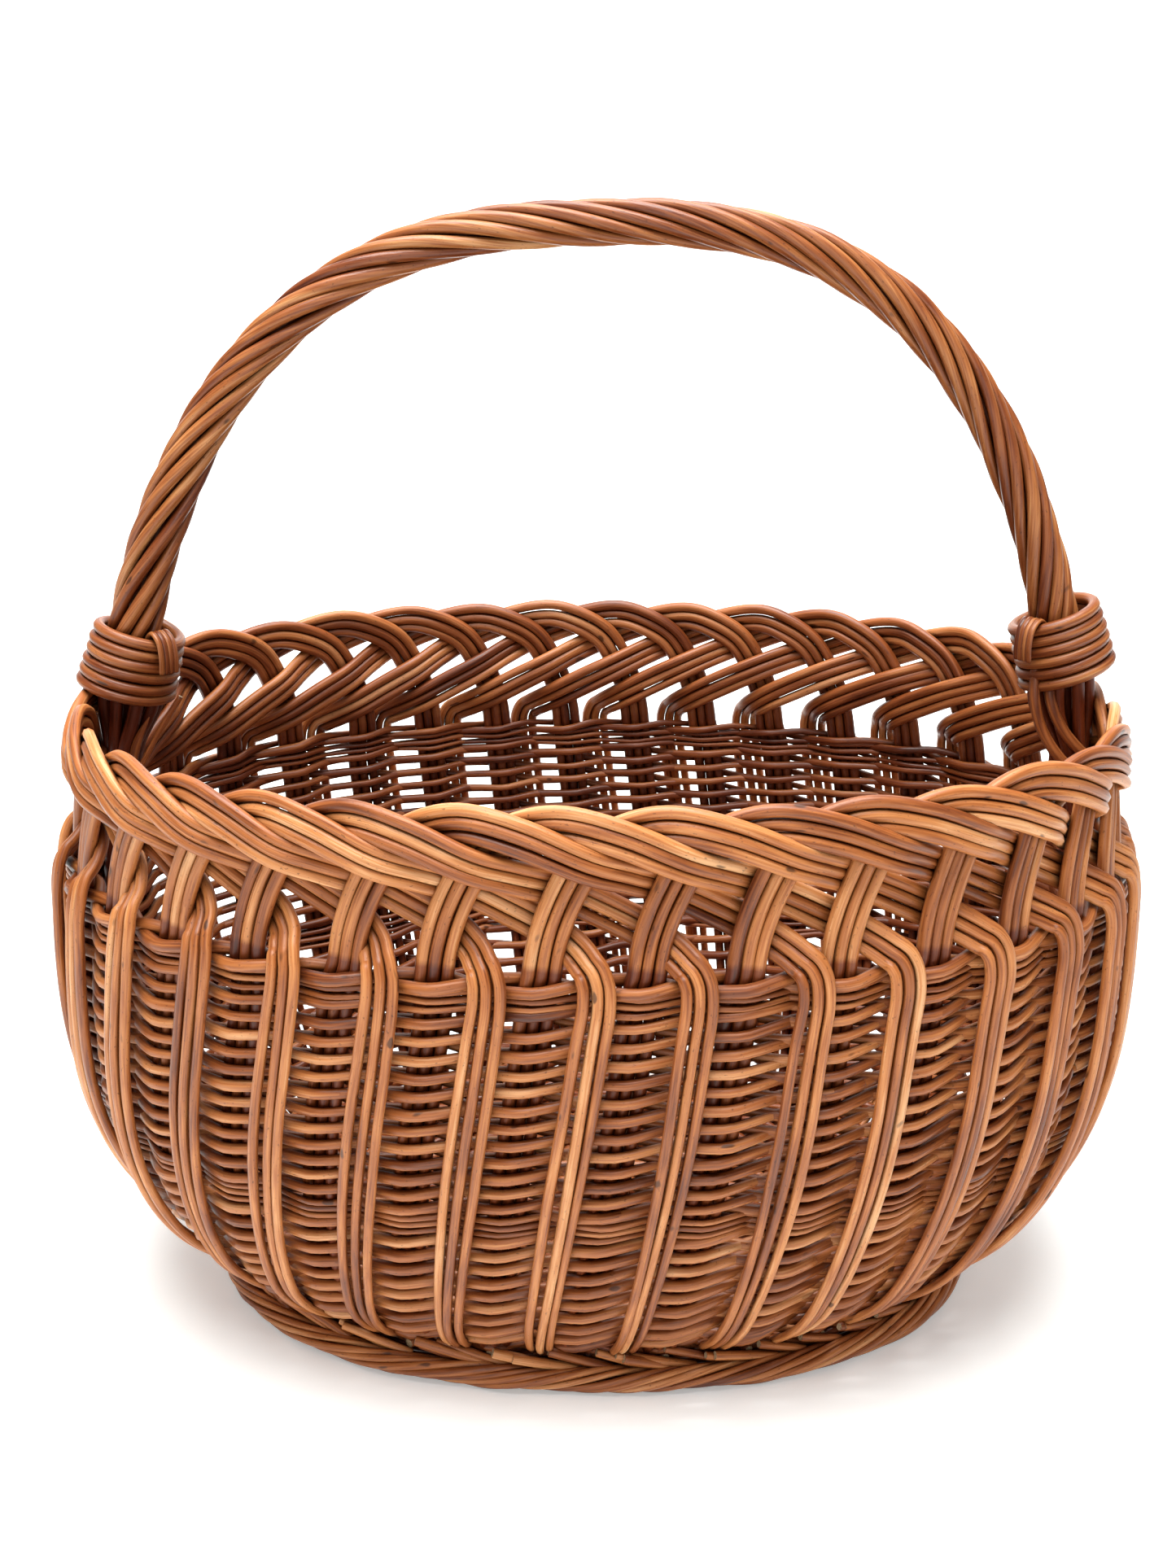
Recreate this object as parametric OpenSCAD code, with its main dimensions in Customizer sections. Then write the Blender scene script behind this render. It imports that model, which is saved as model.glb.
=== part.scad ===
// Oval willow basket with a fixed bow handle, in millimetres, +Z up.
// The origin is on the floor, under the middle of the foot. The long side runs along X.
//
// The wall is woven round stakes that stand in groups of three rods. A group leaves the top of
// the weave, leans along the rim, turns over it, runs down outside two neighbours, passes inside
// the next two, and comes out over the top row to run down the wall as a rib.

/* [Body] */
// Half length of the body where it is widest, over the ribs
belly_a = 218; // [200:1:235]
// Half depth of the body where it is widest, over the ribs
belly_b = 152; // [140:1:165]
// Height of the widest part above the floor
belly_z = 145; // [130:1:155]
// Half length of the body, carried down to the floor
base_a = 150; // [140:1:160]
// Half depth of the body, carried down to the floor
base_b = 104; // [98:1:106]
// Height of the top edge of the weave
weave_top = 193; // [185:1:200]
// Height of the rim, over the rods
rim_z = 252.5; // [247:0.5:257]
// How square the oval is: 2 is an ellipse
squareness = 2.25; // [2:0.05:2.5]

/* [Rods] */
// Number of stake groups round the wall
stake_count = 34; // [30:2:36]
// Diameter of a stake rod
rod_d = 4.2; // [3.6:0.1:4.6]
// Thickness of the woven wall, without the ribs on it
wall_t = 12; // [10:0.5:13]
// How far a rib drifts back along the wall between the top of the weave and the foot, in spacings
rib_drift = 0.7; // [0:0.1:1]

/* [Foot] */
// Half length of the foot border
foot_a = 164; // [160:1:168]
// Half depth of the foot border
foot_b = 114; // [112:1:117]
// Height of the foot border
foot_h = 10; // [8:1:12]

/* [Handle] */
// Half width of the handle's arch, at the middle of the rope
arch_a = 196.5; // [190:0.5:200]
// Height of the arch's middle above the point it is drawn from
arch_b = 325.5; // [310:0.5:340]
// Height of the point that the arch is drawn from
arch_z = 100; // [90:1:110]
// How square the arch is: 2 is an ellipse
arch_squareness = 2.6; // [2.3:0.05:2.8]
// Number of rods wound round the handle
rope_count = 8; // [7:1:8]
// Diameter of a rod wound round the handle
rope_rod_d = 5; // [4.6:0.1:5.4]
// Turns that a rod makes from one binding to the other
rope_turns = 3.5; // [2:0.25:4]
// Turns of the binding rod
binding_turns = 6; // [5:1:7]

/* [Hidden] */
// A group of three rods, drawn as one flat section with bevelled edges
rod_r = rod_d / 2;
group_half_w = 3 * rod_r;
group_edge = 1.4;
// Height of a group's middle at the rim, above the weave
openwork_h = rim_z - group_half_w - weave_top;
// Offsets of the woven wall from the ribs' face
wall_outer = -rod_d;
wall_inner = -rod_d - wall_t;
wall_mid = (wall_outer + wall_inner) / 2;
// How quickly the body widens above the floor, and how it leans back in above its widest part:
// the two ends are rounder than the front and the back
end_flare = 2.6;
side_flare = 1.8;
end_lean = 0.0011;
side_lean = 0.0005;
// The stakes stand a little closer at the two ends of the oval, and the feet of the ribs much closer
end_crowding = 0.04;
foot_crowding = 0.42;
crowding_power = 2.5;

// The weave's bands, from the foot up: fine rods at a third of the height and under the top row
band_z = [foot_h, 88, 99, 181, 188, weave_top];
band_names = ["weave_lower", "weave_fine_lower", "weave_upper", "weave_fine_upper", "top_row"];
band_steps = [4, 1, 3, 1, 1];
wall_segments = 2 * stake_count;
panel_bulge = 1;

// Path of one group: spacings along the wall, height in the openwork from 0 to 1, and offset
openwork_path = [
    [-0.07, 0.00, wall_mid],
    [0.00, 0.27, wall_mid],
    [0.16, 0.55, wall_mid + 0.3],
    [0.40, 0.80, wall_mid + 0.6],
    [0.78, 0.945, wall_mid + 1.5],
    [1.20, 1.00, wall_mid + 4],
    [1.75, 0.925, wall_mid + 6],
    [2.35, 0.765, wall_mid + 6],
    [2.75, 0.66, wall_mid + 1],
    [3.15, 0.55, wall_mid - 4.5],
    [3.60, 0.415, wall_mid - 5.5],
    [4.00, 0.285, wall_mid - 5],
    [4.24, 0.19, wall_mid - 1.5],
    [4.37, 0.12, wall_mid + 3],
    [4.45, 0.05, wall_mid + 6.5]
];
rib_u = 4.5;
rib_heights = [weave_top - 5, 172, 145, 115, 85, 58, 36, 20];
// The group of stakes that is drawn first starts this many spacings before the front
group_lead = 5;
spline_steps = 2;

// Foot border
foot_w = 20;
foot_chamfer = 3;
cut_clear = 1;
outline_points = 96;

// The base plate drops into the foot border and laps the wall's lower edge
plate_z = 6;
plate_top = 14;
plate_clear = 0.3;
cross_stick_d = 7;
long_stick_d = 6;
cross_stick_count = 9;
long_stick_count = 4;
cross_stick_gap = 28;
long_stick_gap = 17;

// Cut rod ends over the foot border
rod_end_d = 3.2;
rod_end_l = 24;
rod_end_rise = 8;
rod_end_turn = 120;
rod_end_inset = 5;
round_sides = 24;

// Handle: the arch stands a little to the left and is a little higher on the right
arch_shift = -1;
arch_skew = 0.026;
arch_steps = 44;
bow_steps = arch_steps / 2;
// The rope's rods lie on this radius at the top, and further out at the bindings
rope_r = 5.9;
rope_swell = 2;
rope_sides = 6;

// The bow inside the rope is round; its legs are flat, and thicker at the bindings
bow_r = 3.4;
bow_sides = 8;
bow_leg_w = 9;
bow_leg_t = 2.8;
bow_leg_swell = 4.5;
leg_heights = [240, 215, 180, 135, 90];
leg_clear = 0.8;
leg_rise = 1;

// Bindings: oval coils, tilted outwards and narrower at the top; the right one sits higher
binding_z = 265;
binding_lift = 3.4;
binding_x = 182;
binding_a = 16.6;
binding_b = 14.5;
binding_taper = 0.9;
binding_rod_d = 4.5;
binding_gap = 0.1;
binding_tilt = 18;
turn_steps = 14;
// The strip over the top turns of a binding, at its inner side
loop_turn = 45;
loop_w = 9;
loop_t = 2;
loop_r = 3.5;
loop_drop = 8;
loop_sides = 8;

stake_color = "peru";
weave_color = "sienna";
fine_color = "chocolate";
foot_color = "saddlebrown";
handle_color = "peru";
binding_color = "sandybrown";
base_color = "tan";

function two_digits(i) = str(i < 10 ? "0" : "", i);
stake_names = [for (i = [1:stake_count]) str("stake_group_", two_digits(i))];
rope_names = [for (i = [1:rope_count]) str("handle_rod_", two_digits(i))];

// ---- Outline of the body ----

// Share of the way from the floor outline to the widest outline
function flare(z, power) = z < belly_z ? 1 - pow(1 - z / belly_z, power) : 1;
// How far the wall leans back in above the widest part
function lean(z, rate) = z > belly_z ? rate * pow(z - belly_z, 2) : 0;
function half_length(z) = base_a + (belly_a - base_a) * flare(z, end_flare) - lean(z, end_lean);
function half_depth(z) = base_b + (belly_b - base_b) * flare(z, side_flare) - lean(z, side_lean);

// Distance from the centre of an oval to its edge, at an angle
function oval_radius(a, b, angle, n) =
    pow(pow(abs(cos(angle)) / a, n) + pow(abs(sin(angle)) / b, n), -1 / n);
function oval_point(a, b, angle, n = squareness) =
    oval_radius(a, b, angle, n) * [cos(angle), sin(angle)];

// Point on the wall: an angle round the body, a height, and an offset outwards from the ribs
function wall_point(angle, z, offset) =
    let (p = oval_point(half_length(z) + offset, half_depth(z) + offset, angle)) [p.x, p.y, z];

// Distance walked round the top of the weave, against the angle, starting at the front
walk_steps = 240;
walk = [
    for (i = 0, s = 0; i <= walk_steps;
         i = i + 1,
         s = s + norm(oval_point(belly_a, belly_b, 360 * i / walk_steps - 90)
                      - oval_point(belly_a, belly_b, 360 * (i - 1) / walk_steps - 90)))
    [s, 360 * i / walk_steps - 90]
];
walk_length = walk[walk_steps][0];

// How closely the ends are crowded, from the top of the weave (down = 0) to the floor (down = 1)
function crowding(down) =
    end_crowding + (foot_crowding - end_crowding) * pow(down, crowding_power);

// Angle round the body at u spacings from the front centre, counted to the right
function angle_at(u, down = 0) =
    let (share = u / stake_count,
         spread = share + crowding(down) * sin(720 * share) / (4 * PI),
         turns = floor(spread))
    lookup((spread - turns) * walk_length, walk) + 360 * turns;

// ---- Sweeping a section along a path ----

function unit(v) = v / norm(v);

// Points between the path's own points, on a smooth curve through them
function smooth_at(p, i, t) =
    let (last = len(p) - 1,
         a = p[max(i - 1, 0)],
         b = p[i],
         c = p[min(i + 1, last)],
         d = p[min(i + 2, last)])
    0.5 * (2 * b + (c - a) * t + (2 * a - 5 * b + 4 * c - d) * t * t
           + (3 * b - a - 3 * c + d) * t * t * t);
function smooth_path(p, steps) = concat(
    [for (i = [0:len(p) - 2], k = [0:steps - 1]) smooth_at(p, i, k / steps)],
    [p[len(p) - 1]]
);

// Direction of a path at one of its points
function heading(p, i) = unit(p[min(i + 1, len(p) - 1)] - p[max(i - 1, 0)]);

// Places a flat section at a point, across the path, with its own x along the side direction
function place_section(section, at, along, out) =
    let (side = unit(cross(out, along)), up = unit(cross(along, side)))
    [for (q = section) at + side * q.x + up * q.y];

// Closed solid through rings of equal length
module skin_rings(rings) {
    n = len(rings[0]);
    last = len(rings) - 1;
    sides = [
        for (i = [0:last - 1], k = [0:n - 1])
        let (m = (k + 1) % n)
        [i * n + k, (i + 1) * n + k, (i + 1) * n + m, i * n + m]
    ];
    start_cap = [for (k = [0:n - 1]) k];
    end_cap = [for (k = [n - 1:-1:0]) last * n + k];
    polyhedron([for (r = rings) each r], concat(sides, [start_cap, end_cap]));
}

function round_section(r, sides) = [
    for (k = [0:sides - 1]) r * [cos(360 * k / sides), sin(360 * k / sides)]
];

// ---- Woven wall ----

// Section of a band of the wall at one angle, as a loop from the outer face to the inner one
function band_loop(angle, z0, z1, steps, bulge) = concat(
    [for (k = [0:steps]) wall_point(angle, z0 + (z1 - z0) * k / steps, wall_outer - panel_bulge + bulge)],
    [for (k = [steps:-1:0]) wall_point(angle, z0 + (z1 - z0) * k / steps, wall_inner + bulge)]
);

// A band of weave: it stands out in front of each group and falls back under each rib
module weave_band(i) {
    loops = [
        for (j = [0:wall_segments - 1])
        band_loop(angle_at(j / 2), band_z[i], band_z[i + 1], band_steps[i], j % 2 * panel_bulge)
    ];
    n = len(loops[0]);
    faces = [
        for (j = [0:wall_segments - 1], k = [0:n - 1])
        let (next = (j + 1) % wall_segments, m = (k + 1) % n)
        [j * n + k, j * n + m, next * n + m, next * n + k]
    ];
    color(i % 2 == 0 ? weave_color : fine_color)
        polyhedron([for (l = loops) each l], faces);
}

// ---- Stake groups ----

// Point in the openwork from its three path values
function openwork_point(first_u, p) =
    wall_point(angle_at(first_u + p.x), weave_top + p.y * openwork_h, p.z);

// Rib point: the rib drifts back along the wall as it goes down
function rib_point(first_u, z) =
    let (down = (weave_top - z) / weave_top)
    wall_point(angle_at(first_u + rib_u - rib_drift * down, down), z, -rod_r);

// Outward direction of the wall below a point, from its slope over a small step each way
probe = 1;
function wall_out(p) =
    let (angle = atan2(p.y, p.x),
         z = min(p.z, weave_top),
         side = wall_point(angle + probe, z, 0) - wall_point(angle - probe, z, 0),
         rise = wall_point(angle, z + probe, 0) - wall_point(angle, z - probe, 0))
    unit(cross(side, rise));

// Three rods side by side, as one flat section
group_section = [
    [-group_half_w, 0],
    [group_edge - group_half_w, -rod_r],
    [group_half_w - group_edge, -rod_r],
    [group_half_w, 0],
    [group_half_w - group_edge, rod_r],
    [group_edge - group_half_w, rod_r]
];

module stake_group(i) {
    first_u = i - group_lead + 0.5;
    openwork = [
        for (p = smooth_path(openwork_path, spline_steps)) openwork_point(first_u, p)
    ];
    rib = [for (z = rib_heights) rib_point(first_u, z)];
    path = concat(openwork, rib);
    color(stake_color) skin_rings([
        for (k = [0:len(path) - 1])
        place_section(group_section, path[k], heading(path, k), wall_out(path[k]))
    ]);
}

// ---- Foot and base ----

module oval_plate(a, b, h) {
    linear_extrude(height = h)
        polygon([for (k = [0:outline_points - 1]) oval_point(a, b, 360 * k / outline_points)]);
}

// Rolled border that the basket stands on, flat underneath, with chamfered edges
module foot_border() {
    color(foot_color) difference() {
        union() {
            oval_plate(foot_a - foot_chamfer, foot_b - foot_chamfer, foot_h);
            translate([0, 0, foot_chamfer])
                oval_plate(foot_a, foot_b, foot_h - 2 * foot_chamfer);
        }
        translate([0, 0, -cut_clear])
            oval_plate(foot_a - foot_w, foot_b - foot_w, foot_h + 2 * cut_clear);
    }
}

// Cut ends of the ribs, lying over the foot border under each rib
module foot_rod_ends() {
    for (i = [0:stake_count - 1]) {
        angle = angle_at(i - rib_drift, 1);
        p = oval_point(foot_a - rod_end_inset, foot_b - rod_end_inset, angle);
        color(foot_color)
            translate([p.x, p.y, foot_h + rod_end_d / 2])
            rotate([0, 90 - rod_end_rise, angle - rod_end_turn])
            cylinder(h = rod_end_l, d = rod_end_d, center = true, $fn = round_sides);
    }
}

// Woven bottom: it fits inside the foot border, under the wall, and steps up inside the wall
module base_weave() {
    inset = wall_inner - plate_clear;
    color(base_color) {
        translate([0, 0, plate_z])
            oval_plate(foot_a - foot_w - plate_clear, foot_b - foot_w - plate_clear, foot_h - plate_z);
        translate([0, 0, foot_h])
            oval_plate(half_length(foot_h) + inset, half_depth(foot_h) + inset, plate_top - foot_h);
    }
}

// Half width of the base at a distance along one of its axes
function chord(a, b, at) = b * pow(1 - pow(abs(at) / a, squareness), 1 / squareness);

// Short sticks across the base, half sunk in its underside
module base_cross_sticks() {
    a = foot_a - foot_w - rod_d;
    b = foot_b - foot_w - rod_d;
    for (k = [0:cross_stick_count - 1]) {
        x = (k - (cross_stick_count - 1) / 2) * cross_stick_gap;
        l = 2 * chord(a, b, x);
        color(base_color) translate([x, 0, plate_z])
            rotate([90, 0, 0]) cylinder(h = l, d = cross_stick_d, center = true, $fn = round_sides);
    }
}

// Long sticks along the base, half sunk in its upper side
module base_long_sticks() {
    a = half_length(foot_h) + wall_inner - rod_d;
    b = half_depth(foot_h) + wall_inner - rod_d;
    for (k = [0:long_stick_count - 1]) {
        y = (k - (long_stick_count - 1) / 2) * long_stick_gap;
        l = 2 * chord(b, a, y);
        color(base_color) translate([0, y, plate_top])
            rotate([0, 90, 0]) cylinder(h = l, d = long_stick_d, center = true, $fn = round_sides);
    }
}

// ---- Handle ----

// The arch's angle where it meets the binding
arch_start = atan2(binding_z - arch_z, binding_x);
function arch_point(angle) =
    let (p = oval_point(arch_a, arch_b, angle, arch_squareness))
    [p.x + arch_shift, 0, arch_z + p.y + arch_skew * p.x * pow(p.y / arch_b, 2)];
function arch_path(steps) = [
    for (k = [0:steps]) arch_point(180 - arch_start - (180 - 2 * arch_start) * k / steps)
];

// Half thickness of a bow leg, and the leg's point inside the wall
function leg_half_t(z) = bow_leg_t + bow_leg_swell * max(0, z - weave_top) / (binding_z - weave_top);
function leg_point(z, side) =
    let (inside = z > weave_top ? wall_inner - rod_d + leg_rise : wall_inner)
    [side * (half_length(z) + inside - leg_half_t(z) - leg_clear), 0, z];

module handle_bow() {
    left_leg = [for (k = [len(leg_heights) - 1:-1:0]) leg_point(leg_heights[k], -1)];
    right_leg = [for (z = leg_heights) leg_point(z, 1)];
    path = concat(left_leg, arch_path(bow_steps), right_leg);
    color(foot_color) skin_rings([
        for (k = [0:len(path) - 1])
        let (in_leg = path[k].z <= leg_heights[0],
             w = in_leg ? bow_leg_w : bow_r,
             t = in_leg ? leg_half_t(path[k].z) : bow_r,
             section = [for (q = round_section(1, bow_sides)) [q.x * w, q.y * t]])
        place_section(section, path[k], heading(path, k), cross(heading(path, k), [0, 1, 0]))
    ]);
}

// One rod wound round the bow from binding to binding
module handle_rod(i) {
    middle = arch_path(arch_steps);
    path = [
        for (k = [0:arch_steps])
        let (along = heading(middle, k),
             out = cross(along, [0, 1, 0]),
             turn = 360 * (rope_turns * k / arch_steps + i / rope_count),
             r = rope_r + rope_swell * pow(2 * k / arch_steps - 1, 2))
        middle[k] + r * (out * cos(turn) - [0, sin(turn), 0])
    ];
    section = round_section(rope_rod_d / 2, rope_sides);
    color(handle_color) skin_rings([
        for (k = [0:arch_steps]) place_section(section, path[k], heading(path, k), [0, 1, 0])
    ]);
}

// Point on a binding's coil, counted in turns up from its middle
function coil_point(turns, r = 0) =
    let (narrow = binding_taper * 2 * turns / binding_turns)
    [(binding_a - narrow + r) * cos(360 * turns),
     (binding_b - narrow + r) * sin(360 * turns),
     binding_rod_d * turns];

module place_binding(side) {
    translate([side * binding_x + arch_shift, 0, binding_z + side * binding_lift])
        rotate([0, -side * binding_tilt, 0])
        children();
}

// Coil of the binding rod, tilted so that its outer side is higher
module binding(side) {
    steps = binding_turns * turn_steps;
    path = [for (k = [0:steps]) coil_point(k / turn_steps - binding_turns / 2)];
    section = round_section((binding_rod_d - binding_gap) / 2, rope_sides);
    color(binding_color) place_binding(side)
        skin_rings([for (k = [0:steps]) place_section(section, path[k], heading(path, k), [0, 0, 1])]);
}

// Strip of split rod bent over the top turn, at the front of the binding's inner side
module binding_loop(side) {
    turn = side > 0 ? 180 + loop_turn : -loop_turn;
    radial = [cos(turn), sin(turn), 0];
    top = [(binding_a - binding_taper) * cos(turn), (binding_b - binding_taper) * sin(turn),
           (binding_turns - 1) * binding_rod_d / 2];
    path = concat(
        [top - radial * loop_r - [0, 0, loop_r]],
        [for (k = [0:loop_sides])
            top + loop_r * (-radial * cos(180 * k / loop_sides) + [0, 0, sin(180 * k / loop_sides)])],
        [top + radial * loop_r - [0, 0, loop_drop]]
    );
    strip = [[-loop_w / 2, -loop_t / 2], [loop_w / 2, -loop_t / 2],
             [loop_w / 2, loop_t / 2], [-loop_w / 2, loop_t / 2]];
    color(binding_color) place_binding(side)
        skin_rings([
            for (k = [0:len(path) - 1])
            place_section(strip, path[k], heading(path, k), cross(heading(path, k), [-radial.y, radial.x, 0]))
        ]);
}

foot_border();
foot_rod_ends();
base_weave();
base_cross_sticks();
base_long_sticks();
for (i = [0:len(band_names) - 1])
    weave_band(i);
for (i = [0:stake_count - 1])
    stake_group(i);
handle_bow();
for (i = [0:rope_count - 1])
    handle_rod(i);
binding(-1);  // binding_left
binding(1);  // binding_right
binding_loop(-1);  // binding_loop_left
binding_loop(1);  // binding_loop_right
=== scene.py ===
# Oval willow basket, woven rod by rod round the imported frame.
import math
import bmesh
import bpy
import numpy as np
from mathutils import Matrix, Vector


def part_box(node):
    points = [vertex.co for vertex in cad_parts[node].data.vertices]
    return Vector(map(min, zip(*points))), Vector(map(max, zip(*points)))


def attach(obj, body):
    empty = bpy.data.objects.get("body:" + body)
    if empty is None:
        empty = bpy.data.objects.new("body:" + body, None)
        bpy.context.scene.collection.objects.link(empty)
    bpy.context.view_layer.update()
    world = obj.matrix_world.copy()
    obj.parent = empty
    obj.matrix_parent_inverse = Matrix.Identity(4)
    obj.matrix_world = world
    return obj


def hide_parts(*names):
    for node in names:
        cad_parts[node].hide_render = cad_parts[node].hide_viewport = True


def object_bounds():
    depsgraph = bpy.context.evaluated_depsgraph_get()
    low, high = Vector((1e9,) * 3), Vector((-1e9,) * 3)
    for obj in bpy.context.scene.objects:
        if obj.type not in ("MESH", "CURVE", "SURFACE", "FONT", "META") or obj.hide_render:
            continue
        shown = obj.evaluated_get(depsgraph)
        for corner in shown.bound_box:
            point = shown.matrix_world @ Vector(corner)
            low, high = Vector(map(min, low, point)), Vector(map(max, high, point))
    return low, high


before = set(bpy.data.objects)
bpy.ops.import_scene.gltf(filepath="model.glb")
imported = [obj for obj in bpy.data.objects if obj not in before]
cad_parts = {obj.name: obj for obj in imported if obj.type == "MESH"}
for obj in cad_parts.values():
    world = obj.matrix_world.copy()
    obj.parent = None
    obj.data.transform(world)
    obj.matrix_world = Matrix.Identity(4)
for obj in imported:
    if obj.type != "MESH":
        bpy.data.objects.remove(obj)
cadBox = [list(corner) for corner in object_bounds()]
mm = 0.001

stakeNames = sorted(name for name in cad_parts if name.startswith("stake_group_"))
ropeNames = sorted(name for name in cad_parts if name.startswith("handle_rod_"))
stakeCount = len(stakeNames)
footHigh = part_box("foot_border")[1]

body = {                                # lengths in metres
    "halfLength": cadBox[1][0],         # over the ribs, where the body is widest
    "halfDepth": cadBox[1][1],
    "widestAt": 145 * mm,
    "baseLength": 150 * mm,             # the outline carried down to the floor
    "baseDepth": 104 * mm,
    "weaveTop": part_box("top_row")[1].z,
    "rim": max(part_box(name)[1].z for name in stakeNames),
    "squareness": 2.25,                 # 2 is an ellipse
    "endFlare": 2.6,                    # the two ends are rounder than the front and the back
    "sideFlare": 1.8,
    "endLean": 1.1,                     # how the wall leans back in above the widest part
    "sideLean": 0.5,
    # the stakes stand closer at the two ends: share at the top of the weave, share at the floor
    "crowding": (0.04, 0.42),
    "crowdingPower": 2.5,
    "drift": 0.7,                       # spacings that stakes and ribs drift back towards the foot
    "wallMiddle": -10.2 * mm,           # offset of the stakes inside the weave, from the ribs' face
}


def ovalRadius(a, b, angle, power):
    return (np.abs(np.cos(angle) / a) ** power + np.abs(np.sin(angle) / b) ** power) ** (-1 / power)


def outlineAt(z):
    below = np.clip(1 - z / body["widestAt"], 0, None)
    above = np.clip(z - body["widestAt"], 0, None) ** 2
    a = body["halfLength"] - (body["halfLength"] - body["baseLength"]) * below ** body["endFlare"]
    b = body["halfDepth"] - (body["halfDepth"] - body["baseDepth"]) * below ** body["sideFlare"]
    return a - body["endLean"] * above, b - body["sideLean"] * above


walkAngle = np.linspace(0, 2 * math.pi, 1441) - math.pi / 2
walkRadius = ovalRadius(body["halfLength"], body["halfDepth"], walkAngle, body["squareness"])
walkPoint = np.stack([walkRadius * np.cos(walkAngle), walkRadius * np.sin(walkAngle)], 1)
walkLength = np.concatenate([[0], np.cumsum(np.linalg.norm(np.diff(walkPoint, axis=0), axis=1))])


# Angle round the body, u spacings to the right of the front centre; down goes from 0 at the weave's
# top to 1 at the floor
def angleAt(u, down=0.0):
    share = np.asarray(u, float) / stakeCount
    above, below = body["crowding"]
    crowding = above + (below - above) * down ** body["crowdingPower"]
    spread = share + crowding * np.sin(4 * math.pi * share) / (4 * math.pi)
    turns = np.floor(spread)
    return np.interp((spread - turns) * walkLength[-1], walkLength, walkAngle) + 2 * math.pi * turns


def wallPoint(u, z, offset):  # offset is outwards from the ribs' face
    z = np.asarray(z, float)
    down = np.clip((body["weaveTop"] - z) / body["weaveTop"], 0, 1)
    angle = angleAt(u - body["drift"] * down, down)
    a, b = outlineAt(z)
    radius = ovalRadius(a + offset, b + offset, angle, body["squareness"])
    return np.stack([radius * np.cos(angle), radius * np.sin(angle), z + 0 * angle], -1)


def unit(v):
    return v / np.maximum(np.linalg.norm(v, axis=-1, keepdims=True), 1e-12)


def wallOut(u, z, offset):  # outward direction of the wall
    aside = wallPoint(u + 0.05, z, offset) - wallPoint(u - 0.05, z, offset)
    rise = wallPoint(u, z + mm, offset) - wallPoint(u, z - mm, offset)
    return unit(np.cross(aside, rise))


def smoothPath(keys, steps):  # a smooth curve through every key
    keys = np.array(keys, float)
    held = np.vstack([keys[:1], keys, keys[-1:]])
    t = (np.arange(steps) / steps)[:, None]
    spans = []
    for i in range(len(keys) - 1):
        a, b, c, d = held[i:i + 4]
        spans.append(0.5 * (2 * b + (c - a) * t + (2 * a - 5 * b + 4 * c - d) * t ** 2
                            + (3 * b - a - 3 * c + d) * t ** 3))
    return np.vstack(spans + [keys[-1:]])


def wobble(chance, count, waves, size):  # slow wandering along a rod
    at = np.linspace(0, 1, count)
    total = np.zeros(count)
    for k in range(1, waves + 1):
        total += chance.normal() * np.sin(2 * math.pi * (k * 0.7 * at + chance.uniform())) / math.sqrt(k)
    return size * total / math.sqrt(1 + math.log(waves))


def uneven(chance, u, size):  # small steps from one half spacing to the next
    knots = np.arange(math.floor(u[0]) * 2, math.ceil(u[-1]) * 2 + 1) / 2
    return np.interp(u, knots, chance.normal(0, size, len(knots)))


straightRods = {}


def straightRod(sides, rings):  # each kind is modelled once, and every rod is a bent copy of one
    if (sides, rings) not in straightRods:
        bm = bmesh.new()
        bmesh.ops.create_cone(bm, cap_ends=True, cap_tris=False, segments=sides,
                              radius1=1, radius2=1, depth=2)
        lengthwise = [e for e in bm.edges if abs(e.verts[0].co.z - e.verts[1].co.z) > 1]
        bmesh.ops.subdivide_edges(bm, edges=lengthwise, cuts=rings - 2, use_grid_fill=True)
        for face in bm.faces:
            cut = abs(face.normal.z) > 0.9
            face.smooth = not cut
            face.material_index = 1 if cut else 0
        mesh = bpy.data.meshes.new(f"straightRod{sides}x{rings}")
        bm.to_mesh(mesh)
        co = np.array([v.co for v in bm.verts])
        bm.free()
        ring = np.rint((co[:, 2] + 1) / 2 * (rings - 1)).astype(int)
        straightRods[sides, rings] = mesh, ring, np.arctan2(co[:, 1], co[:, 0])
    return straightRods[sides, rings]


cutEdge = {"length": 0.35 * mm, "size": 0.84}              # the cut ends have a slightly broken edge


def newBundle():
    return {"bm": bmesh.new(), "grain": [], "tone": [], "shade": []}


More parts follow.
